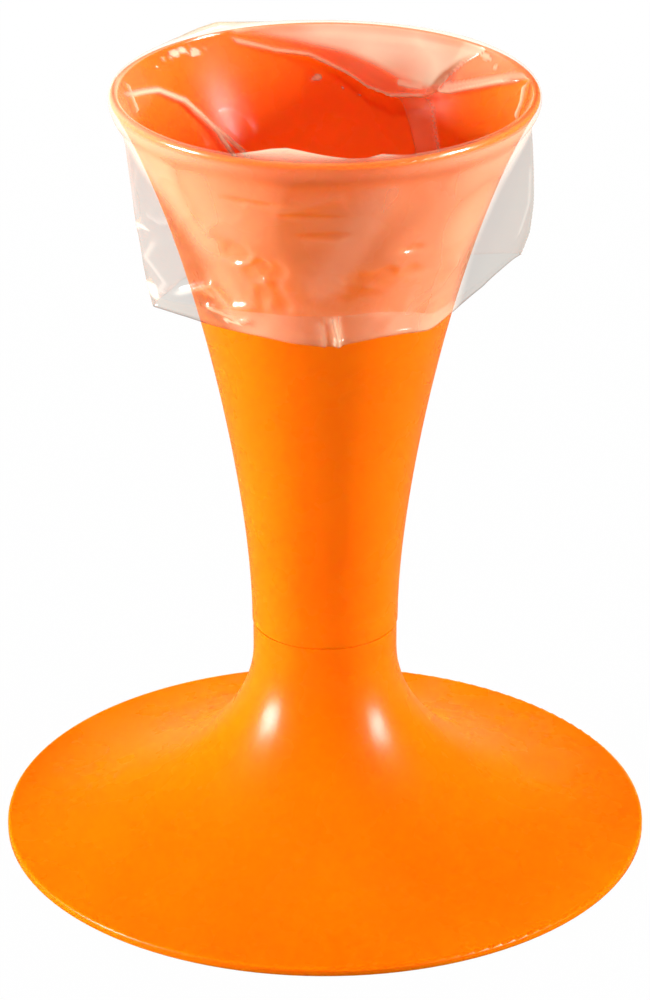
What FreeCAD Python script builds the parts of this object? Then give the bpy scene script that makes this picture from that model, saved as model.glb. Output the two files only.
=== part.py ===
import FreeCAD, Part
import math
import os

from FreeCAD import Vector

# Piping bag holder: a trumpet foot, a flared funnel plugged into its neck, and the film bag that hangs in the
# funnel with its mouth folded over the rim. Millimetres, Z up, origin at the middle of the foot on the table.
# Azimuths are in degrees from +X, anticlockwise from above, and the front is -Y.

# The stand as a whole
stand_height = 242.0
seam_height = 70.0
foot_radius = 100.0
neck_radius = 22.2
rim_radius = 63.4

# Foot: one moulded shell, open underneath
base_wall = 2.2
foot_edge_height = 2.6
foot_edge_round = 1.0
foot_land = 3.0
foot_hollow_edge = 0.6
neck_straight = 9.7
neck_pull = 29.3
foot_pull = 38.0
foot_slope_deg = 1.0
shadow_gap_height = 0.8
shadow_gap_depth = 0.5
socket_depth = 15.0

# Funnel: one moulded shell with a round lip above and a plain spigot below
funnel_wall = 2.2
seam_overhang = 0.3
stem_pull = 45.5
flare_pull = 44.7
flare_lean_deg = 30.0
spigot_length = 14.0
spigot_wall = 1.8
spigot_clearance = 0.08
spigot_lead_in = 0.8
bore_taper_length = 9.0

# Film bag, drawn thicker than the real film so that it is a sound solid
film_thickness = 0.5
film_gap = 0.3
bag_tip_height = 18.0
bag_tip_radius = 3.0
bag_tip_length = 55.0
lining_slack = 1.5
lining_slack_from = 0.88
gather_foot, gather_full, gather_top = 55.0, 130.0, 206.0
gather_run = 32.0
gather_at_rim = 0.3
cuff_length = 61.0
cuff_gap = 1.4
flap_left, flap_left_deg = 54.0, 198.0
flap_right, flap_right_top_deg, flap_right_hem_deg = 61.5, -12.0, 12.0
flap_right_lift, flap_right_lift_width_deg = 6.0, 35.0
hug_reached, cuff_folds_reached = 0.4, 0.6
back_rise, back_rise_deg, back_rise_width_deg = 3.0, 115.0, 40.0
loop_points = 40
lining_shares = (0, 0.1, 0.3, 0.5, 0.66, 0.8, 0.9, 0.96, 1)
lip_turns = (150, 110, 70, 30, 0)
lip_turn_step = 40
cuff_shares = (0.1, 0.28, 0.5, 0.76, 1)

# Folds: azimuth at the rim, azimuth at the other end, height and half-width in degrees. The bag is wider than the
# funnel, so its lining gathers in deep folds below the rim, and its cuff has a few shallow ones
cuff_folds = (
    (-66.0, -100.0, 1.6, 11.0),
    (-128.0, -112.0, 1.3, 10.0),
    (-38.0, -50.0, 1.4, 10.0),
    (60.0, 72.0, 1.8, 12.0),
    (118.0, 104.0, 1.6, 12.0),
    (152.0, 160.0, 1.4, 11.0),
)
lining_folds = (
    (5.0, 23.0, 4.2, 12.0),
    (42.0, 60.0, 5.0, 12.0),
    (82.0, 100.0, 3.6, 12.0),
    (122.0, 140.0, 5.0, 12.0),
    (163.0, 181.0, 4.2, 12.0),
    (203.0, 221.0, 4.6, 12.0),
    (248.0, 266.0, 4.0, 12.0),
    (298.0, 316.0, 5.0, 12.0),
)


def unit(lean_deg):
    """The direction that leans so far outwards from straight up, as radius and height."""
    lean = math.radians(lean_deg)
    return math.sin(lean), math.cos(lean)


def inset(points, distance):
    """Control points of a curve that keeps one distance from the given one, on the side of the axis."""
    legs = []
    for (r0, z0), (r1, z1) in zip(points, points[1:]):
        length = math.hypot(r1 - r0, z1 - z0)
        dr, dz = (r1 - r0) / length, (z1 - z0) / length
        side_r, side_z = -dz * distance, dr * distance
        legs.append((r0 + side_r, z0 + side_z, r1 + side_r, z1 + side_z, dr, dz))
    moved = [legs[0][:2]]
    for before, after in zip(legs, legs[1:]):
        cross = before[4] * after[5] - before[5] * after[4]
        step = ((after[0] - before[0]) * after[5] - (after[1] - before[1]) * after[4]) / cross
        moved.append((before[0] + step * before[4], before[1] + step * before[5]))
    moved.append(legs[-1][2:4])
    return moved


def curve(points):
    result = Part.BezierCurve()
    result.setPoles([Vector(r, 0, z) for r, z in points])
    return result


def line(start, end):
    return Part.LineSegment(Vector(start[0], 0, start[1]), Vector(end[0], 0, end[1])).toShape()


def path(points):
    return [line(start, end) for start, end in zip(points, points[1:])]


def round_arc(centre, radius, *turns_deg):
    """An arc through the points at three angles about a centre."""
    points = []
    for turn in turns_deg:
        angle = math.radians(turn)
        points.append(Vector(centre[0] + radius * math.cos(angle), 0, centre[1] + radius * math.sin(angle)))
    return Part.Arc(*points).toShape()


def turned(edges):
    """The solid that a closed outline makes when it is turned about Z."""
    outline = Part.Wire(Part.__sortEdges__(edges))
    return Part.Face(outline).revolve(Vector(0, 0, 0), Vector(0, 0, 1), 360)


def radius_at(profile, height):
    """The radius of a rising curve at one height."""
    low, high = 0.0, 1.0
    for _ in range(40):
        middle = (low + high) / 2
        if profile.value(middle).z < height:
            low = middle
        else:
            high = middle
    return profile.value((low + high) / 2).x


# Foot
def foot_profile():
    """The outer curve of the foot, from its edge up to the straight of the neck."""
    slope = math.radians(foot_slope_deg)
    edge = foot_radius - foot_edge_round
    straight_from = seam_height - neck_straight
    return [
        (edge, foot_edge_height),
        (edge - foot_pull * math.cos(slope), foot_edge_height + foot_pull * math.sin(slope)),
        (neck_radius, straight_from - neck_pull),
        (neck_radius, straight_from),
    ]


def socket_radius():
    return neck_radius - base_wall


def base():
    outer = foot_profile()
    inner = inset(outer, base_wall)
    land_inner = foot_radius - foot_land
    inner[0] = (land_inner, foot_hollow_edge)
    inner[3] = (socket_radius(), seam_height - socket_depth)
    gap_radius = neck_radius - shadow_gap_depth
    gap_foot = seam_height - shadow_gap_height
    round_from = foot_edge_height - foot_edge_round
    edges = [
        curve(outer).toShape(),
        *path([outer[3], (neck_radius, gap_foot), (gap_radius, gap_foot), (gap_radius, seam_height)]),
        *path([(gap_radius, seam_height), (socket_radius(), seam_height), inner[3]]),
        curve(inner).toShape(),
        *path([inner[0], (land_inner, 0), (foot_radius, 0), (foot_radius, round_from)]),
        round_arc((foot_radius - foot_edge_round, round_from), foot_edge_round, 0, 45, 90),
    ]
    return turned(edges)


# Funnel
def lip_radius():
    return funnel_wall / 2


def lip_centre():
    return rim_radius - lip_radius(), stand_height - lip_radius()


def funnel_outer():
    """The outer curve of the funnel, from the seam up to the lip."""
    lean_r, lean_z = unit(flare_lean_deg)
    centre = lip_centre()
    end = (centre[0] + lip_radius() * lean_z, centre[1] - lip_radius() * lean_r)
    foot = neck_radius + seam_overhang
    return [
        (foot, seam_height),
        (foot, seam_height + stem_pull),
        (end[0] - flare_pull * lean_r, end[1] - flare_pull * lean_z),
        end,
    ]


def spigot_radius():
    return socket_radius() - spigot_clearance


def spigot_bore():
    return spigot_radius() - spigot_wall


def funnel_inner():
    """The inner curve of the funnel, from the top of the taper in its bore up to the lip."""
    inner = inset(funnel_outer(), funnel_wall)
    inner[0] = (inner[0][0], seam_height + bore_taper_length)
    return inner


def funnel():
    outer, inner = funnel_outer(), funnel_inner()
    spigot_end = seam_height - spigot_length
    lead_radius = spigot_radius() - spigot_lead_in / 2
    lean = flare_lean_deg
    edges = [
        curve(outer).toShape(),
        round_arc(lip_centre(), lip_radius(), -lean, 90 - lean, 180 - lean),
        curve(inner).toShape(),
        *path([inner[0], (spigot_bore(), seam_height), (spigot_bore(), spigot_end)]),
        *path([(spigot_bore(), spigot_end), (lead_radius, spigot_end)]),
        *path([(lead_radius, spigot_end), (spigot_radius(), spigot_end + spigot_lead_in)]),
        *path([(spigot_radius(), spigot_end + spigot_lead_in), (spigot_radius(), seam_height), outer[0]]),
    ]
    return turned(edges)


# Film bag
def turn_between(azimuth, other):
    """The smallest turn from one azimuth to another, in degrees."""
    return (azimuth - other + 180) % 360 - 180


def eased(share):
    share = min(max(share, 0.0), 1.0)
    return share * share * (3 - 2 * share)


def fold_height(folds, azimuth, share):
    """How far the folds stand out at one azimuth and share of the way from the rim."""
    height = 0.0
    for at_rim, at_end, fold, width in folds:
        middle = at_rim + turn_between(at_end, at_rim) * share
        height += fold * math.exp(-((turn_between(azimuth, middle) / width) ** 2))
    return height


def flap(azimuth, middle, reach, hug):
    """The radius of film pulled straight from a side fold at one azimuth to where it meets the round cone."""
    if reach <= hug:
        return hug
    spread = math.acos(hug / reach)
    away = abs(math.radians(turn_between(azimuth, middle)))
    return hug / math.cos(spread - away) if away < spread else hug


def spline_reach(step_deg):
    """How much further out the control points of a smooth round stand than the round itself."""
    return 6 / (4 + 2 * math.cos(math.radians(step_deg)))


def lining_loop(share, offset):
    """One loop of the film inside the funnel: share 0 is the tip and 1 is just under the lip."""
    inner = curve(funnel_inner())
    tip_height = bag_tip_height + offset
    height = tip_height + (inner.value(1.0).z - tip_height) * share
    wall = radius_at(inner, height) if height > inner.value(0.0).z else spigot_bore()
    at_rim = eased((share - lining_slack_from) / (1 - lining_slack_from))
    radius = wall - offset - lining_slack - (film_gap - lining_slack) * at_rim
    opened = eased((height - tip_height) / bag_tip_length)
    radius = bag_tip_radius - offset + (radius - bag_tip_radius + offset) * opened
    above = eased((gather_top - height) / gather_run)
    below = eased((height - gather_foot) / (gather_full - gather_foot))
    gathered = (gather_at_rim + (1 - gather_at_rim) * above) * below * (1 - at_rim)
    loop = []
    for step in range(loop_points):
        azimuth = 360.0 * step / loop_points
        fold = fold_height(lining_folds, azimuth, 1 - share) * gathered
        loop.append((radius - fold, azimuth, height))
    return loop


def lip_loop(turn_deg, offset):
    """One loop of the film where it passes over the lip: 180 is inside the funnel and 0 is outside."""
    centre = lip_centre()
    turn = math.radians(turn_deg)
    reach = (lip_radius() + film_gap + offset) * spline_reach(lip_turn_step)
    loop = []
    for step in range(loop_points):
        azimuth = 360.0 * step / loop_points
        away = turn_between(azimuth, back_rise_deg) / back_rise_width_deg
        rise = back_rise * math.exp(-away * away) * math.sin(turn)
        loop.append((centre[0] + reach * math.cos(turn), azimuth, centre[1] + reach * math.sin(turn) + rise))
    return loop


def cuff_loop(share, offset):
    """One loop of the cuff outside the funnel: share 0 is at the lip and 1 is the hem."""
    outer = curve(funnel_outer())
    centre = lip_centre()
    lip = centre[0] + lip_radius() + film_gap + offset
    right_deg = flap_right_top_deg + (flap_right_hem_deg - flap_right_top_deg) * share
    loop = []
    for step in range(loop_points):
        azimuth = 360.0 * step / loop_points
        away = turn_between(azimuth, flap_right_hem_deg) / flap_right_lift_width_deg
        lift = flap_right_lift * math.exp(-away * away)
        height = centre[1] - (cuff_length - lift) * share
        cone = radius_at(outer, height) + cuff_gap + offset
        hug = lip + (cone - lip) * eased(share / hug_reached)
        left = flap(azimuth, flap_left_deg, lip + (flap_left - lip) * share, hug)
        right = flap(azimuth, right_deg, lip + (flap_right - lip) * share, hug)
        fold = fold_height(cuff_folds, azimuth, share) * eased(share / cuff_folds_reached)
        loop.append((max(left, right) + fold, azimuth, height))
    return loop


def film_side(offset):
    """One side of the film as a smooth face, from the tip up the lining, over the lip and down to the hem."""
    lining = [lining_loop(share, offset) for share in lining_shares]
    lip = [lip_loop(turn, offset) for turn in lip_turns]
    cuff = [cuff_loop(share, offset) for share in cuff_shares]
    around = spline_reach(360.0 / loop_points)
    grid = []
    for loop in lining + lip + cuff:
        row = []
        for radius, azimuth, height in loop:
            angle = math.radians(azimuth)
            row.append(Vector(around * radius * math.cos(angle), around * radius * math.sin(angle), height))
        grid.append(row)
    loops = len(grid)
    surface = Part.BSplineSurface()
    surface.buildFromPolesMultsKnots(
        grid,
        [4] + [1] * (loops - 4) + [4],
        [1] * (loop_points + 1),
        list(range(loops - 2)),
        list(range(loop_points + 1)),
        False,
        True,
        3,
        3,
    )
    return surface.toShape()


def end_wires(face):
    """The closed edges at the two ends of a side of the film, the lower one first."""
    rings = [edge for edge in face.Edges if edge.isClosed()]
    rings.sort(key=lambda edge: edge.BoundBox.ZMax)
    return Part.Wire([rings[0]]), Part.Wire([rings[-1]])


def piping_bag():
    near, far = film_side(0.0), film_side(film_thickness)
    near_tip, near_hem = end_wires(near)
    far_tip, far_hem = end_wires(far)
    hem = Part.makeRuledSurface(near_hem, far_hem)
    faces = [near, far, Part.Face(near_tip), Part.Face(far_tip)] + hem.Faces
    shell = Part.makeShell(faces)
    shell.sewShape()
    return Part.makeSolid(shell)


os.makedirs("parts", exist_ok=True)
for name, piece in (("base", base()), ("funnel", funnel()), ("piping_bag", piping_bag())):
    print(name, "valid" if piece.isValid() else "NOT VALID", round(piece.Volume / 1000, 1), "cm3")
    piece.exportStep(f"parts/{name}.step")
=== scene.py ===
import math

import bpy
import numpy as np
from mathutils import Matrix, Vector, noise


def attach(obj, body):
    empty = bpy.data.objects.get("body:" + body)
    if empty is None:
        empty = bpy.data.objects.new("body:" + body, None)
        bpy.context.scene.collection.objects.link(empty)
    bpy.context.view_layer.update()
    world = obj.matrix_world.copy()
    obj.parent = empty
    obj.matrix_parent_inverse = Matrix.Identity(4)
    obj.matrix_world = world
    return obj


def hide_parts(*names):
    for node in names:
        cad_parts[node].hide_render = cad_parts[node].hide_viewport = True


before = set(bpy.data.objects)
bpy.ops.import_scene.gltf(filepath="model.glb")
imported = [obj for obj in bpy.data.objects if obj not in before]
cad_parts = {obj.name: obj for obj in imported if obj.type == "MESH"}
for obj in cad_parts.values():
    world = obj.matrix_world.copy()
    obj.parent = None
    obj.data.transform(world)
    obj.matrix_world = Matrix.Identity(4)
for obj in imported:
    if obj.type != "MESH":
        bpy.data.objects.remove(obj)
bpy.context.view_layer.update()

# Camera
# The stand is seen from in front and above, looking down by about 25 degrees through a long lens.
camera = bpy.data.objects.new("camera", bpy.data.cameras.new("camera"))
bpy.context.scene.collection.objects.link(camera)
bpy.context.scene.camera = camera
camera.data.sensor_width = 36.0
camera.data.lens = 163.9
camera.location = (0.0, -1.2686, 0.6876)
camera.rotation_euler = (math.radians(65.5), 0.0, 0.0)


# Base
# The trumpet-shaped foot: one injection-moulded shell of orange polypropylene, open underneath. Its mould
# had a fine spark-eroded surface, which leaves the outside satin rather than glossy.
def linear(hex_colour):
    """An sRGB colour written as hex, as linear red, green, blue and alpha."""
    values = [int(hex_colour[i : i + 2], 16) / 255 for i in (1, 3, 5)]
    return [v / 12.92 if v <= 0.04045 else ((v + 0.055) / 1.055) ** 2.4 for v in values] + [1.0]


def add(tree, kind, inputs=None, **settings):
    """Adds a node with its settings. An input is a value or the socket that it is linked from."""
    node = tree.nodes.new("ShaderNode" + kind)
    for name, value in settings.items():
        setattr(node, name, value)
    for name, value in (inputs or {}).items():
        if isinstance(value, bpy.types.NodeSocket):
            tree.links.new(value, node.inputs[name])
        else:
            node.inputs[name].default_value = value
    return node


def new_material(name):
    material = bpy.data.materials.new(name)
    material.use_nodes = True
    material.node_tree.nodes.clear()
    return material


def moulded_polypropylene():
    """Satin injection-moulded polypropylene: saturated pigment, a soft broad gloss and a fine grain."""
    material = new_material("moulded_polypropylene")
    tree = material.node_tree
    place = add(tree, "TexCoord").outputs["Object"]
    # Pigment flows slightly unevenly as the mould fills, over patches a few centimetres wide
    flow = add(tree, "TexNoise", {"Vector": place, "Scale": 28.0, "Detail": 2.0})
    pigment = add(tree, "ValToRGB", {"Fac": flow.outputs["Fac"]})
    pigment.color_ramp.elements[0].position = 0.35
    pigment.color_ramp.elements[0].color = linear("#f06a00")
    pigment.color_ramp.elements[1].position = 0.65
    pigment.color_ramp.elements[1].color = linear("#f46f00")
    # The satin of the mould varies a little, in patches of about 15 mm
    satin = add(tree, "TexNoise", {"Vector": place, "Scale": 65.0, "Detail": 3.0})
    roughness = add(tree, "MapRange", {"Value": satin.outputs["Fac"], "To Min": 0.24, "To Max": 0.31})
    # The spark-eroded grain is about 0.1 mm, drawn at 0.5 mm so that it shows
    grain = add(tree, "TexNoise", {"Vector": place, "Scale": 2000.0, "Detail": 2.0})
    fine = add(tree, "Bump", {"Height": grain.outputs["Fac"], "Strength": 0.02, "Distance": 0.00004})
    # The wall sinks and swells by a few hundredths of a millimetre as it cools
    sink = add(tree, "TexNoise", {"Vector": place, "Scale": 45.0, "Detail": 1.0})
    wavy = add(
        tree,
        "Bump",
        {
            "Height": sink.outputs["Fac"],
            "Normal": fine.outputs["Normal"],
            "Strength": 0.25,
            "Distance": 0.0003,
        },
    )
    plastic = add(
        tree,
        "BsdfPrincipled",
        {
            "Base Color": pigment.outputs["Color"],
            "Roughness": roughness.outputs["Result"],
            "Normal": wavy.outputs["Normal"],
            "IOR": 1.49,
            "Specular IOR Level": 0.15,
            # Light enters the 2 mm wall and comes out again nearby, redder, on both of its sides
            "Subsurface Weight": 0.75,
            "Subsurface Radius": (1.0, 0.62, 0.05),
            "Subsurface Scale": 0.0045,
        },
    )
    add(tree, "OutputMaterial", {"Surface": plastic.outputs["BSDF"]})
    return material


orange_plastic = moulded_polypropylene()


def finish_node(name, material):
    """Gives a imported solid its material, and the slot that it is painted from."""
    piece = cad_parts[name]
    piece.data.materials.clear()
    piece.data.materials.append(material)
    for face in piece.data.polygons:
        face.material_index = 0
    return piece


finish_node("base", orange_plastic)

# Funnel
# The flared tube that plugs into the neck of the foot. It is the same plastic, moulded in the same satin,
# with a round lip that the bag is folded over.
funnel = finish_node("funnel", orange_plastic)


# Film bag
# A disposable bag of clear polyethylene film, about 0.07 mm thick and a little milky. Its tip hangs through
# the funnel, and its mouth is folded over the lip as a cuff. It is a flat bag with an edge at each side, so
# its cuff stands out in two flaps, and the film that the round funnel has no room for lies in creases.
def wall_profiles(piece):
    """The funnel's inner and outer wall as (heights, radii) in millimetres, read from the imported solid."""
    mesh = piece.data
    points = np.zeros(len(mesh.vertices) * 3)
    normals = np.zeros(len(mesh.vertices) * 3)
    mesh.vertices.foreach_get("co", points)
    mesh.vertices.foreach_get("normal", normals)
    points, normals = points.reshape(-1, 3) * 1000, normals.reshape(-1, 3)
    radius = np.hypot(points[:, 0], points[:, 1])
    outward = (points[:, 0] * normals[:, 0] + points[:, 1] * normals[:, 1]) / radius
    walls = []
    for side in (-1, 1):
        on_wall = outward * side > 0.5
        heights, first = np.unique(np.round(points[on_wall, 2], 2), return_index=True)
        walls.append((heights, radius[on_wall][first]))
    return walls


(inner_heights, inner_radii), (outer_heights, outer_radii) = wall_profiles(funnel)
film_columns = 480
hidden_rows, seen_rows, lip_rows, cuff_rows, tuck_rows = 12, 82, 9, 92, 4
rim_height, lip_round = 242.0, 1.1
lip_middle = 63.4 - lip_round, rim_height - lip_round
clearance = 0.3
bag_tip, bag_tip_radius, seen_from = 18.2, 2.6, 195.0
spigot_end, spigot_top = 56.0, 70.0
front_azimuth = -90.0
azimuths = np.linspace(0, 360, film_columns, endpoint=False)
# The cuff's lower edge as (azimuth, height)
hem_line = (
    (-162, 180.6),
    (-140, 178.8),
    (-116, 178.4),
    (-105, 177.6),
    (-86, 177.4),
    (-68, 178.9),
    (-54, 178.4),
    (-40, 176.4),
    (-22, 178.6),
    (14, 184.4),
    (38, 178.0),
    (70, 177.5),
    (98, 177.2),
    (128, 179.8),
    (160, 178.6),
    (176, 180.4),
)
# The two edges of the flat bag, which stand furthest out: azimuth at the lip and at the hem, and the
# radius at shares of the way down
edges_of_bag = (
    (197.0, 199.0, (0, 0.06, 0.25, 0.56, 0.8, 1), (63.8, 61.6, 60.4, 58.4, 56.4, 54.0)),
    (-13.0, 15.0, (0, 0.1, 0.4, 0.65, 0.85, 1), (63.8, 61.4, 61.8, 62.6, 62.8, 61.6)),
)


def turn(angles, other):
    """The smallest turn from one azimuth to others, in degrees."""
    return (angles - other + 180) % 360 - 180


def hill(angles, middle, width):
    """A smooth bump from 0 to 1 round one azimuth."""
    return np.exp(-((turn(angles, middle) / width) ** 2))


def ease(share):
    """A share from 0 to 1 that starts and ends gently."""
    share = np.clip(share, 0, 1)
    return share * share * (3 - 2 * share)


def crease(around, along, points, depth, above, below, reach):
    """A sharp crease along a line of (azimuth, height) points: how far it stands out, and its white edge,
    which is partly the film's own whitening at the fold and partly a painted highlight.

    It fades out at its ends, and falls away over other widths above and below the line, in millimetres.
    """
    scale = math.radians(1) * reach
    nearest = np.full(around.shape, 1e9)
    rise, edge = np.zeros(around.shape), np.zeros(around.shape)
    lengths = [math.hypot(turn(b[0], a[0]) * scale, b[1] - a[1]) for a, b in zip(points, points[1:])]
    passed = 0.0
    for (az_a, h_a), (az_b, h_b), length in zip(points, points[1:], lengths):
        dx, dy = turn(az_b, az_a) * scale, h_b - h_a
        px, py = turn(around, az_a) * scale, along - h_a
        share = np.clip((px * dx + py * dy) / length**2, 0, 1)
        away = np.hypot(px - share * dx, py - share * dy)
        side = (dx * py - dy * px) * (1 if dx >= 0 else -1)
        at = (passed + share * length) / sum(lengths)
        fade = ease(np.minimum(at, 1 - at) / 0.16)
        near = away < nearest
        width = np.where(side > 0, above, below)
        rounded = np.sqrt(away**2 + 0.4) - 0.63
        rise = np.where(near, depth * (0.2 + 0.8 * fade) * np.exp(-rounded / width), rise)
        edge = np.where(near, fade * np.exp(-((away / 0.8) ** 2)), edge)
        nearest = np.minimum(nearest, away)
        passed += length
    return rise, edge


def creases(around, along, lines, reach):
    """The highest of several creases at each place, and how white their edges are: partly the film's own
    whitening at the fold, partly a painted highlight.
    """
    rise, white = np.zeros(around.shape), np.zeros(around.shape)
    for points, depth, above, below, fold_white_and_highlight in lines:
        one, edge = crease(around, along, points, depth, above, below, reach)
        rise, white = np.maximum(rise, one), np.maximum(white, edge * fold_white_and_highlight)
    return rise, white


def rumple(around, along, size, seed, sharpness=2.0, reach=50.0):
    """Ridged wrinkles of about one size in millimetres, from 0 to 1, the same on each run."""
    angle = np.radians(around)
    across, deep = reach * np.cos(angle) / size + seed, reach * np.sin(angle) / size
    values = [
        1 - abs(noise.noise(Vector(spot))) * 2
        for spot in zip(across.ravel(), deep.ravel(), (along / size).ravel())
    ]
    return np.clip(np.array(values).reshape(around.shape), 0, 1) ** sharpness


# The long crease at the left inside the funnel, and the one beside it, as (azimuth, height) points
left_crease = (
    (183, 241.6),
    (172, 238),
    (155, 233.9),
    (144, 227.9),
    (139, 223),
    (134, 217.3),
    (129, 209.5),
    (119, 192),
)
beside_left_crease = (
    (150, 231),
    (143, 227.7),
    (141, 224.5),
    (136, 219.6),
    (130, 214.8),
    (123, 208.5),
    (113, 192),
)
# Creases in the film as (azimuth, height) points, height off the wall, widths above and below, and whitening
# of the edge, partly real and partly a painted highlight
lining_creases = (
    (left_crease, 2.4, 2.4, 2.0, 0.95),
    (beside_left_crease, 2.0, 1.2, 1.4, 0.75),
    (((52, 228), (42, 229.6), (29, 234.4), (20, 238), (12, 241)), 5.0, 2.4, 1.0, 0.8),
    (((50, 230), (42, 231.4), (30, 235.5), (21, 239), (15, 241)), 4.6, 1.2, 1.2, 0.6),
    (((164, 238.4), (157, 237), (150, 237.6)), 1.0, 1.2, 1.2, 0.0),
    (((150, 239.6), (144, 238.2), (139, 239)), 1.0, 1.2, 1.2, 0.0),
    (((171, 241.8), (172, 240), (174, 237.6), (176, 233)), 2.2, 1.1, 1.1, 0.7),
    (((8, 241.8), (5, 240.2), (-1, 238.2), (-5, 234)), 2.2, 1.1, 1.1, 0.7),
    (((152, 214), (158, 206), (168, 198)), 1.2, 2.0, 2.0, 0.1),
    (((20, 226), (12, 216), (4, 206)), 1.2, 2.0, 2.0, 0.1),
)
# The taut panel's lower edge, its right side, the foot of its milky part, which is partly a painted
# reflection, and the creases across it
panel_edge = (
    (49, 228.6),
    (51, 227),
    (65, 225.5),
    (74, 226.8),
    (83, 230.2),
    (89, 232.2),
    (95, 234.4),
    (106, 236),
    (117, 239.4),
    (121, 241.6),
)
panel_side = ((229, 49.5), (233, 48.0), (237.4, 44.5), (241, 39.5))
milky_foot = (
    (48, 229),
    (62, 229.9),
    (67, 231.3),
    (74, 233.2),
    (83, 235.2),
    (94, 237),
    (105, 239.4),
    (112, 241),
)
under_rim = ((121, 242), (106, 240.4), (92, 239.8), (80, 239.5), (66, 240), (52, 240.4), (42, 241.4))
panel_creases = (
    (under_rim, 0.9, 1.0, 1.0, 0.25),
    (((118, 241), (100, 238.6), (84, 237.4), (68, 236.6), (54, 237.6)), 0.8, 1.6, 2.2, 0.1),
    (((110, 240), (94, 237.2), (80, 234.6), (66, 231.4), (58, 229.4)), 0.7, 1.6, 1.6, 0.15),
    (((64, 229.6), (58, 229.2), (51, 229.6)), 0.8, 0.8, 0.8, 0.7),
)
corner_crease = ((-154, 186), (-147, 188.8), (-134, 193.7), (-130, 190), (-127, 187.6), (-113, 190.2))
over_tuck = ((-113, 190), (-97, 189.3), (-81, 188.1), (-63, 186.6), (-49, 187.7), (-36, 188.4))
# The creases of the cuff, in the same columns, with the same partly painted highlight along their edges
cuff_creases = (
    (((-134, 216), (-126, 211), (-118, 208), (-112, 200), (-107, 188)), 1.2, 1.6, 2.4, 0.1),
    (corner_crease, 1.8, 1.2, 2.2, 0.35),
    (over_tuck, 0.8, 0.9, 3.0, 0.2),
    (((-88, 189), (-87, 187), (-86, 183), (-84, 176)), 2.2, 0.8, 1.3, 0.5),
    (((-92, 187), (-91, 183), (-90, 176)), 1.2, 0.8, 1.4, 0.35),
    (((-34, 203), (-38, 199), (-43, 193.4), (-53, 188.7), (-64, 184.4), (-70, 180)), 1.6, 1.6, 2.2, 0.3),
    (((-142, 186), (-132, 184.3), (-124, 183), (-118, 185)), 1.4, 0.9, 1.2, 0.5),
    (((-84, 231), (-90, 228.6), (-98, 226), (-106, 222)), 0.8, 1.6, 1.6, 0.1),
    (((55, 236), (68, 214), (80, 196), (84, 180)), 2.6, 5.0, 4.0, 0.2),
    (((128, 232), (118, 210), (104, 190), (98, 180)), 2.4, 4.0, 5.0, 0.2),
    (((160, 228), (166, 208), (158, 190), (162, 180)), 1.8, 3.0, 3.0, 0.2),
    (((206, 205), (200, 197), (206, 190), (199, 183)), 1.4, 1.6, 1.6, 0.2),
    (((214, 212), (208, 210), (202, 212)), 1.2, 1.4, 1.4, 0.15),
    (((203, 228), (198, 215), (202, 203)), 1.0, 1.8, 1.8, 0.1),
    (((-6, 222), (1, 206), (3, 192)), 1.0, 1.6, 1.6, 0.15),
)
# A whiter band down the front, partly milky film and partly a painted highlight, and its half-width
streak = (((-68, 236), (-73, 229), (-76, 221.9), (-80, 212.8), (-84, 205.6), (-89, 199.4), (-96, 192)), 3.4)
# The folds in which the lining gathers, as azimuth at the rim and depth, and how far they twist to the tip
lining_gathers = ((5, 4.2), (42, 5.0), (82, 3.6), (122, 5.0), (163, 4.2), (203, 4.6), (248, 4.0), (298, 5.0))
gather_twist, gather_width = 18.0, 12.0


def stretched_panel(around, along):
    """The taut panel at the back right, from the rim to an edge that stands away from the wall.

    Returns how far it stands off, its haze, which is partly a painted reflection, and the white lines in it,
    which are partly painted highlights.
    """
    panel_top = rim_height + 0.6
    low = np.interp(around, *zip(*panel_edge))
    side = np.interp(along, *zip(*panel_side))
    span = panel_top - low
    depth = 0.45 * span * ease((around - side + 2.0) / 3.0) * ease((121 - around) / 8)
    under = np.exp(np.minimum(along - low, 0) / 1.5)
    over = np.clip((panel_top - along) / span, 0, 1)
    ridge, white = creases(around, along, panel_creases, 55.0)
    inside = ease((along - low + 0.3) / 0.8) * ease(depth / 1.2)
    edge = 0.75 * np.exp(-(((along - low) / 0.75) ** 2)) * ease(depth / 1.0)
    steep = 0.6 * np.exp(-((turn(around, side) / 0.9) ** 2))
    steep = steep * ease((along - 227) / 1.5) * ease((241.5 - along) / 1.5)
    # Its milky part is partly film standing off the wall and partly a painted reflection
    milky = ease((along - np.interp(around, *zip(*milky_foot)) + 0.8) / 2.4)
    haze = inside * (0.03 + 0.66 * milky - 0.14 * ease((along - 240.2) / 0.8))
    lines = np.maximum(np.maximum(edge, steep), white * inside)
    return np.where(along > low, over, under) * depth + ridge * inside, haze, lines


def doubled_band(around, along):
    """Where the film lies double below the panel, in a band with two straight edges, and those edges."""
    middle = np.interp(along, (190, 210, 218, 226), (38, 47.0, 53.0, 58.5))
    away = np.abs(turn(around, middle))
    fade = ease((227 - along) / 2) * ease((along - 180) / 20)
    return ease((6.4 - away) / 1.0) * fade, np.exp(-(((away - 6.0) / 0.7) ** 2)) * fade


# Painted highlights where the film is crumpled, small white spots painted into its milk: azimuth, height,
# half-width in degrees, half-height, whiteness
lining_painted_glints = (
    (139, 240.0, 6.0, 1.6, 0.95),
    (132, 238.4, 3.5, 1.4, 0.8),
    (106, 236.0, 1.6, 0.7, 0.5),
    (93, 227.0, 2.4, 0.9, 0.75),
    (84, 224.4, 1.2, 0.6, 0.75),
    (78, 222.6, 1.0, 0.5, 0.5),
    (36, 240.2, 2.4, 0.6, 0.7),
    (29, 239.1, 2.0, 0.6, 0.7),
)
# Painted highlights on the cuff, in the same columns
cuff_painted_glints = (
    (-128, 182.0, 4.5, 1.0, 0.9),
    (-137, 190.5, 5.0, 2.6, 0.35),
    (-86, 180.0, 1.0, 2.6, 0.6),
    (199, 186.0, 5.0, 2.4, 0.5),
    (200, 206.5, 7.0, 0.7, 0.4),
)


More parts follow.
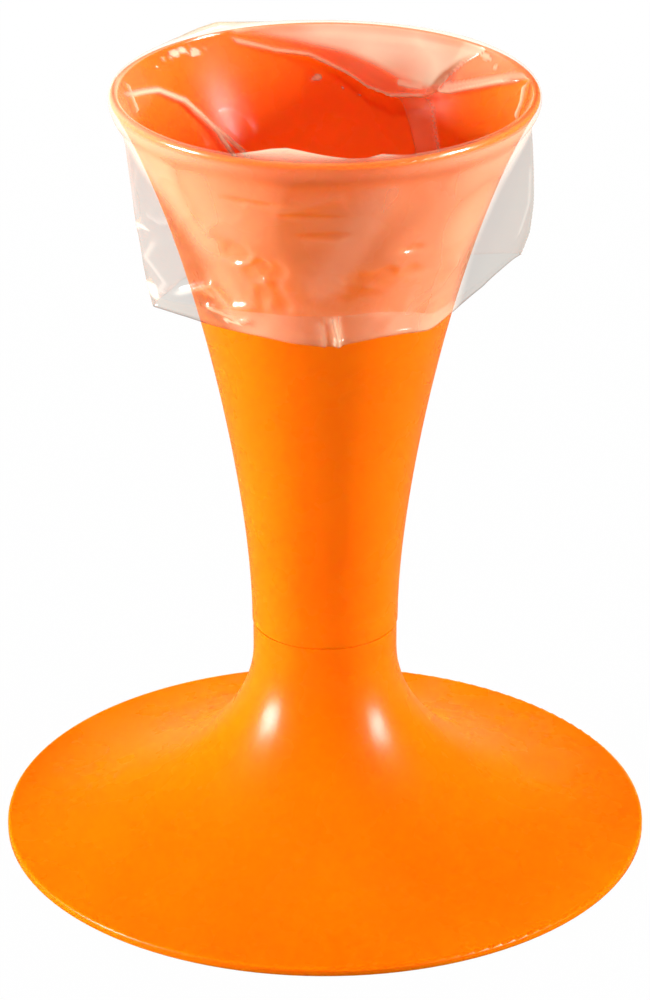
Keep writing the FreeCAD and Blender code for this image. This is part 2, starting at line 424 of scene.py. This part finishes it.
def painted_glints(around, along, spots):
    """Painted highlights: how white the film is painted over several small crumpled spots with uneven edges.
    """
    uneven = 0.9 * rumple(around, along, 3.5, 83.0, 1.0)
    white = np.zeros(around.shape)
    for azimuth, height, wide, high, whiteness in spots:
        apart = np.hypot(turn(around, azimuth) / wide, (along - height) / high)
        white = np.maximum(white, whiteness * ease((1.5 - apart - uneven) / 0.5))
    return white


def lining():
    """The film inside the funnel, from the tip up to the lip.

    Like the other bands, it gives radius, azimuth, height, haze, how much light passes, and shine.
    """
    low = np.linspace(bag_tip, seen_from, hidden_rows, endpoint=False)
    heights = np.concatenate([low, np.linspace(seen_from, inner_heights[-1], seen_rows)])[:, None]
    along, around = np.broadcast_arrays(heights, azimuths)
    wall = np.interp(along, inner_heights, inner_radii)
    panel, on_panel, panel_lines = stretched_panel(around, along)
    band, band_rim = doubled_band(around, along)
    rise, white = creases(around, along, lining_creases, 52.0)
    # Painted highlights at the crumpled spots, and white lines at the creases and at the edges of the
    # doubled band, partly real whitening and partly painted highlight
    white = np.maximum(white, painted_glints(around, along, lining_painted_glints))
    white = np.maximum(white, np.maximum(panel_lines, 0.35 * band_rim))
    # The bag is wider than the funnel below the rim, so lower down it gathers in folds
    gathered = (0.1 + 0.9 * ease((206 - along) / 32)) * ease((along - 55) / 75) * ease((240 - along) / 20)
    folds = np.zeros(around.shape)
    for at_rim, depth in lining_gathers:
        middle = at_rim + gather_twist * (rim_height - along) / (rim_height - bag_tip)
        folds += depth * np.exp(-((turn(around, middle) / gather_width) ** 2))
    stand_off = np.maximum(np.maximum(panel, rise), folds * gathered) + 1.1 * band
    calm = ease((238 - along) / 20) * (1 - ease(panel / 2))
    stand_off = stand_off + rumple(around, along, 18.0, 3.0) * 0.45 * calm
    stand_off = stand_off + rumple(around, along, 6.0, 9.0, 3.0) * 0.2 * ease((206 - along) / 20)
    gap = clearance + 1.1 * ease((215 - along) / 40)
    radius = wall - gap - stand_off
    # Under the spigot the film hangs free and closes to its tip
    bore = np.interp(spigot_top, inner_heights, inner_radii)
    loose = bore - 1.4 - 3.2 * np.abs(np.sin(np.radians(around * 3.5 + 30))) ** 1.5
    radius = np.where(along < spigot_end, np.minimum(radius, loose), radius)
    radius = bag_tip_radius + (radius - bag_tip_radius) * ease((along - bag_tip) / 48)
    # Under the rim the film is milkier at the left, and at the right, where it lies double
    left_rim = hill(around, 178, 20) * ease((along - 229) / 6)
    fold = np.interp(around, (0, 12, 20, 29, 42, 48, 52), (243, 240.6, 237.6, 234, 229.2, 228, 230))
    right_rim = ease((along - fold) / 1.2) * ease((47 - around) / 2) * ease((around + 2) / 8)
    doubled = right_rim * ease((fold + 3.0 - along) / 1.0)
    haze = 0.02 + 0.05 * ease((stand_off - 1.0) / 3) + 0.16 * band + on_panel + 0.12 * left_rim
    haze = haze + 0.2 * right_rim + 0.26 * doubled + 0.08 * ease((200 - along) / 40)
    haze = haze * (0.75 + 0.5 * rumple(around, along, 14.0, 71.0, 1.0))
    # The gathered tip under the spigot lies several layers thick, which takes away some of the light
    tip = ease((spigot_end + 16 - along) / 16)
    haze, clear = haze + 0.12 * tip, 1 - 0.3 * tip
    shine = 0.15 + 0.85 * ease((along - 234) / 6)
    return radius, around, along, np.maximum(haze, white), clear, shine


def rim_rise():
    """How far the film stands above the lip, all round: a peak at the back left and one at the front."""
    back_right = ((-12, 0.3), (3, 0.4), (30, 0.6), (46, 0.7), (70, 0.3), (92, 0.3))
    back_left = ((106, 0.7), (114, 1.6), (122, 2.9), (128, 2.3), (135, 1.2), (143, 0.6), (163, 0.3))
    front_left = ((174, 0.9), (184, 0.4), (230, 0.3), (245, 0.4), (251, 2.0), (256, 3.4), (260, 4.0))
    front_right = ((264, 3.3), (270, 2.0), (276, 1.0), (281, 0.8), (285, 1.7), (292, 0.5))
    return np.interp(azimuths, *zip(*back_right, *back_left, *front_left, *front_right), period=360)


def over_lip():
    """The film where it passes over the lip, from inside to outside."""
    angle = np.radians(np.linspace(142, 0, lip_rows))[:, None]
    reach = lip_round + clearance + 0.1
    rise = rim_rise() * np.sin(angle) ** 1.5
    radius = lip_middle[0] + reach * np.cos(angle) + 0 * rise
    height = lip_middle[1] + reach * np.sin(angle) + rise
    around = np.broadcast_to(azimuths, radius.shape)
    haze = 0.06 + 0.2 * ease(rise / 3) + 0.3 * hill(around, 188, 32) + 0.22 * hill(around, 74, 44)
    # Along the top of the film that stands above the lip runs a white line, partly a fold and partly a
    # painted highlight
    haze = haze + 0.5 * ease(rise - 0.6) * np.exp(-(((angle - math.radians(90)) / 0.35) ** 2))
    ridge = np.exp(-(((angle - math.radians(90)) / 0.35) ** 2))
    # Where it stands above the lip at the back the film is greyed, most along its top: painted shade that
    # draws its outline
    clear = 1 - (0.25 + 0.3 * ridge) * ease((rise - 0.5) / 1.2) * ease(turn(around, 0) / 10)
    return radius, around, height, haze, clear, np.full(radius.shape, 1.0)


def flap(middle, reach, hug):
    """The radius of film pulled straight from an edge of the flat bag to where it meets the round funnel."""
    spread = np.arccos(np.clip(hug / reach, 0, 1))
    away = np.abs(np.radians(turn(azimuths, middle)))
    pulled = hug / np.cos(np.clip(spread - away, 0, 1.5))
    return np.where((away < spread) & (reach > hug), pulled, hug)


def hem():
    """The height of the cuff's lower edge all round, with its corners very slightly rounded."""
    line = sorted((azimuth % 360, height) for azimuth, height in hem_line)
    spots = [azimuths + offset for offset in (-3.0, -1.5, 0.0, 1.5, 3.0)]
    return sum(np.interp(spot, *zip(*line), period=360) for spot in spots) / len(spots)


def cling(around, along):
    """Where the cuff lies against the funnel, from 0 to 1, in patches with uneven edges."""
    patches = (
        (-122, 206.5, 9, 4.0),
        (-112, 203, 9, 5.0),
        (-109, 195, 6, 6.0),
        (-68, 199.5, 12, 3.6),
        (-78, 195.5, 9, 3.0),
        (-96, 223.3, 13, 1.2),
        (-112, 227.0, 12, 1.0),
        (-92, 216, 8, 1.6),
        (-60, 209, 6, 1.6),
        (80, 205, 14, 5.0),
        (120, 196, 10, 4.0),
    )
    uneven = 0.7 * rumple(around, along, 9.0, 57.0, 1.0)
    touch = np.zeros(around.shape)
    for azimuth, height, wide, high in patches:
        apart = np.hypot(turn(around, azimuth) / wide, (along - height) / high)
        touch = np.maximum(touch, ease((1.7 - apart - uneven) / 0.9))
    return touch


def cuff():
    """The film folded down outside the funnel, from the lip to the hem."""
    share = np.linspace(0.02, 1, cuff_rows)[:, None]
    height = lip_middle[1] - (lip_middle[1] - hem()) * share
    around = np.broadcast_to(azimuths, height.shape)
    wall = np.interp(height, outer_heights, outer_radii)
    lip = lip_middle[0] + lip_round + clearance + 0.1
    touch = cling(around, height)
    loose = 0.6 + 1.0 * rumple(around, height, 30.0, 21.0, 1.0)
    hug = lip + (wall + loose * (1 - 0.8 * touch) - lip) * ease(share / 0.13)
    radius = hug.copy()
    near_edge = np.zeros(height.shape)
    for at_lip, at_hem, shares, reaches in edges_of_bag:
        for row, down in enumerate(share[:, 0]):
            middle = at_lip + (at_hem - at_lip) * down
            radius[row] = np.maximum(radius[row], flap(middle, np.interp(down, shares, reaches), hug[row]))
            near_edge[row] = np.maximum(near_edge[row], hill(azimuths, middle, 6))
    stand_off = radius - wall
    raised, white = creases(around, height, cuff_creases, 48.0)
    # Painted highlights at the crumpled spots, over the white crease edges, which are partly painted
    # highlight
    white = np.maximum(white, painted_glints(around, height, cuff_painted_glints))
    smooth = 1 - 0.85 * near_edge
    crumple = 0.25 + 0.5 * hill(around, 196, 18) + 0.1 * hill(around, 10, 20)
    crumple = crumple * ease(share / 0.3) * smooth * (1 - 0.7 * touch)
    crumple = crumple * (1 - 0.8 * ease((share - 0.9) / 0.1))
    raised = raised * ease(share / 0.2) * (1 - 0.5 * touch) * smooth
    raised = raised + crumple * rumple(around, height, 13.0, 33.0, 2.5)
    radius = np.maximum(radius + raised, wall + clearance)
    # This band is painted into the haze only: partly milkier film, partly a painted highlight of a ridge
    line, width = streak
    glow = ease(1.4 * crease(around, height, line, 1.0, 1.6 * width, width, 48.0)[0])
    # The front layer of the bag lies between its two edges. It whitens towards its sides, partly as it
    # leaves the funnel there and partly as a painted sheen of film seen at a slant. Where it stands free it
    # takes away some of the light behind it, and is greyed further by painted shade
    from_front = turn(around, front_azimuth)
    right_edge = 77.0 + 28.0 * share
    front = ease(0.5 + (from_front + 72) / 4) * ease(0.5 + (right_edge - from_front) / 4)
    free = ease((stand_off - 1.0) / 1.8) * ease(share / 0.12)
    leaving_and_sheen = ease((np.abs(from_front) - 6) / 46) * front
    haze = 0.11 - 0.07 * touch + 0.03 * ease(raised / 2) + 0.14 * glow + 0.26 * leaving_and_sheen * (1 - 0.75 * free)
    haze = haze * (1 - 0.85 * free * (1 - front)) * (1 - 0.5 * free * front)
    clear = 1 - (0.34 + 0.06 * ease((from_front + 40) / 60)) * free * front * (1 - ease(white / 0.4))
    shine = np.full(radius.shape, 1.0)
    return radius, around, height, np.maximum(haze, 0.8 * white), clear, shine


def tuck(radius, height, haze, shine):
    """The narrow strip of film that is turned up inside the hem, wider at the front and the back."""
    share = np.linspace(0, 1, tuck_rows + 1)[1:, None]
    width = 0.5 + 9.5 * np.maximum(hill(azimuths, front_azimuth, 42), hill(azimuths, 110, 30)) ** 0.5
    height = height + width * share
    around = np.broadcast_to(azimuths, height.shape)
    wall = np.interp(height, outer_heights, outer_radii)
    radius = np.maximum(radius - 0.3 - 0.3 * share, wall + clearance * 0.8)
    haze = haze * ease((width - 1) / 3) * np.ones(share.shape)
    return radius, around, height, haze, np.full(radius.shape, 1.0), shine * np.ones(share.shape)


def film_mesh():
    """The film as one mesh: the lining, over the lip, the cuff, and the tuck inside its hem."""
    bands = [lining(), over_lip(), cuff()]
    radius, _, height, haze, _, shine = (part[-1] for part in bands[-1])
    bands.append(tuck(radius, height, haze, shine))
    radius, around, height, haze, clear, shine = (np.concatenate(parts) for parts in zip(*bands))
    angle = np.radians(around)
    points = np.stack([radius * np.cos(angle), radius * np.sin(angle), height], axis=-1) / 1000
    faces = []
    for row in range(len(points) - 1):
        here, above = row * film_columns, (row + 1) * film_columns
        for column in range(film_columns):
            beside = (column + 1) % film_columns
            faces.append((here + column, here + beside, above + beside, above + column))
    faces.append(tuple(reversed(range(film_columns))))
    mesh = bpy.data.meshes.new("film_bag")
    mesh.from_pydata(points.reshape(-1, 3).tolist(), [], faces)
    mesh.shade_smooth()
    for name, values in (("haze", haze), ("clear", clear), ("shine", shine)):
        attribute = mesh.attributes.new(name, "FLOAT", "POINT")
        attribute.data.foreach_set("value", values.reshape(-1).astype(np.float32))
    return mesh


def polyethylene_film():
    """Blown polyethylene film: nearly clear where it clings to a wall, and milky where it stands off."""
    material = new_material("polyethylene_film")
    tree = material.node_tree
    place = add(tree, "TexCoord").outputs["Object"]
    haze = add(tree, "Attribute", attribute_name="haze").outputs["Fac"]
    passed = add(tree, "Attribute", attribute_name="clear").outputs["Color"]
    # Fine wrinkles a few millimetres apart, finer than the folds of the mesh
    wrinkles = add(tree, "TexNoise", {"Vector": place, "Scale": 160.0, "Detail": 2.0, "Distortion": 0.6})
    bump = add(tree, "Bump", {"Height": wrinkles.outputs["Fac"], "Strength": 0.14, "Distance": 0.0006})
    normal = bump.outputs["Normal"]
    # Seen at a slant the film is thicker, so it is milkier and reflects more
    slant = add(tree, "LayerWeight", {"Blend": 0.5, "Normal": normal})
    steep = add(tree, "Math", {0: slant.outputs["Facing"], 1: 9.0}, operation="POWER")
    milkier = add(tree, "MapRange", {"Value": steep.outputs["Value"], "To Min": haze, "To Max": 0.3})
    mirror = add(tree, "MapRange", {"Value": steep.outputs["Value"], "To Min": 0.03, "To Max": 0.4})
    # Where it clings inside the funnel it takes on the satin of the wall, and shines less
    shine = add(tree, "Attribute", attribute_name="shine").outputs["Fac"]
    shining = add(tree, "Math", {0: mirror.outputs["Result"], 1: shine}, operation="MULTIPLY")
    clear = add(tree, "BsdfTransparent", {"Color": passed})
    milk_colour = linear("#fcf6d6")
    milk = add(tree, "BsdfDiffuse", {"Color": milk_colour, "Normal": normal})
    glow = add(tree, "BsdfTranslucent", {"Color": milk_colour, "Normal": normal})
    milky = add(tree, "MixShader", {0: 0.4, 1: milk.outputs["BSDF"], 2: glow.outputs["BSDF"]})
    film = add(
        tree,
        "MixShader",
        {0: milkier.outputs["Result"], 1: clear.outputs["BSDF"], 2: milky.outputs["Shader"]},
    )
    gloss = add(tree, "BsdfGlossy", {"Color": (1, 1, 1, 1), "Roughness": 0.17, "Normal": normal})
    surface = add(
        tree, "MixShader", {0: shining.outputs["Value"], 1: film.outputs["Shader"], 2: gloss.outputs["BSDF"]}
    )
    add(tree, "OutputMaterial", {"Surface": surface.outputs["Shader"]})
    return material


bag = bpy.data.objects.new("film_bag", film_mesh())
bpy.context.scene.collection.objects.link(bag)
bag.data.materials.append(polyethylene_film())
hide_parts("piping_bag")
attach(bag, "cone")

# Studio
# A white table and backdrop, and two soft boxes at the sides, which draw the two soft spots on the foot.
# Three more lamps fill in: one above, one behind, and a snooted one on the mouth of the bag.


def table_top():
    """A matt table that the camera sees as white, less the shadow that the stand leaves on it."""
    half = 3.0
    mesh = bpy.data.meshes.new("table_top")
    corners = [(-half, -half, 0), (half, -half, 0), (half, half, 0), (-half, half, 0)]
    mesh.from_pydata(corners, [], [(0, 1, 2, 3)])
    table = bpy.data.objects.new("table_top", mesh)
    bpy.context.scene.collection.objects.link(table)
    # Just under the foot, so that the two don't share a plane
    table.location.z = -0.0004
    material = new_material("white_table")
    tree = material.node_tree
    path = add(tree, "LightPath")
    paint = add(tree, "BsdfDiffuse", {"Color": linear("#626262")})
    white = add(tree, "Emission", {"Color": (1, 1, 1, 1), "Strength": 1.02})
    seen = add(
        tree,
        "Math",
        {0: path.outputs["Is Camera Ray"], 1: path.outputs["Is Transmission Ray"]},
        operation="MAXIMUM",
    )
    share = add(tree, "Math", {0: seen.outputs["Value"], 1: 0.97}, operation="MULTIPLY")
    mixed = add(
        tree,
        "MixShader",
        {0: share.outputs["Value"], 1: paint.outputs["BSDF"], 2: white.outputs["Emission"]},
    )
    add(tree, "OutputMaterial", {"Surface": mixed.outputs["Shader"]})
    mesh.materials.append(material)


table_top()


def hang(lamp, azimuth, elevation, distance, aim):
    """Hangs a lamp so that it faces a point on the stand."""
    hung = bpy.data.objects.new(lamp.name, lamp)
    bpy.context.scene.collection.objects.link(hung)
    turned, raised = math.radians(azimuth), math.radians(elevation)
    level = math.cos(raised)
    away = Vector((level * math.cos(turned), level * math.sin(turned), math.sin(raised)))
    hung.location = Vector(aim) + away * distance
    hung.rotation_euler = away.to_track_quat("Z", "Y").to_euler()
    return hung


def soft_box(name, azimuth, elevation, distance, wide, high, power):
    """A soft box that faces the middle of the stand."""
    lamp = bpy.data.lights.new(name, "AREA")
    lamp.shape = "RECTANGLE"
    lamp.size, lamp.size_y = wide, high
    lamp.energy = power
    return hang(lamp, azimuth, elevation, distance, (0, 0, 0.1))


soft_box("soft_box_left", -167, 10, 1.5, 0.45, 0.45, 58.0)
soft_box("soft_box_right", -18, 15, 1.5, 0.35, 0.45, 41.0)
# These two fill in without a reflection of their own: one lights the bag from above, and the other shines
# through the back of the funnel, which glows
soft_box("soft_box_above", -90, 75, 1.6, 0.8, 0.8, 1.5).visible_glossy = False
soft_box("soft_box_behind", 90, 7, 1.6, 1.2, 0.45, 75.0).visible_glossy = False
# This one, in front and above, lights only the mouth of the bag, and has no reflection either
snoot = bpy.data.lights.new("snoot", "SPOT")
snoot.energy, snoot.shadow_soft_size = 28.0, 0.05
snoot.spot_size, snoot.spot_blend = math.radians(5.2), 0.4
hang(snoot, -90, 57, 1.5, (0, 0.008, 0.238)).visible_glossy = False

world = bpy.data.worlds.new("studio")
bpy.context.scene.world = world
world.use_nodes = True
world.node_tree.nodes.clear()
ray = add(world.node_tree, "LightPath")
backdrop = add(
    world.node_tree, "MapRange", {"Value": ray.outputs["Is Camera Ray"], "To Min": 0.04, "To Max": 1.0}
)
white_air = add(
    world.node_tree, "Background", {"Color": (1, 1, 1, 1), "Strength": backdrop.outputs["Result"]}
)
add(world.node_tree, "OutputWorld", {"Surface": white_air.outputs["Background"]})

bpy.context.scene.view_settings.view_transform = "Standard"
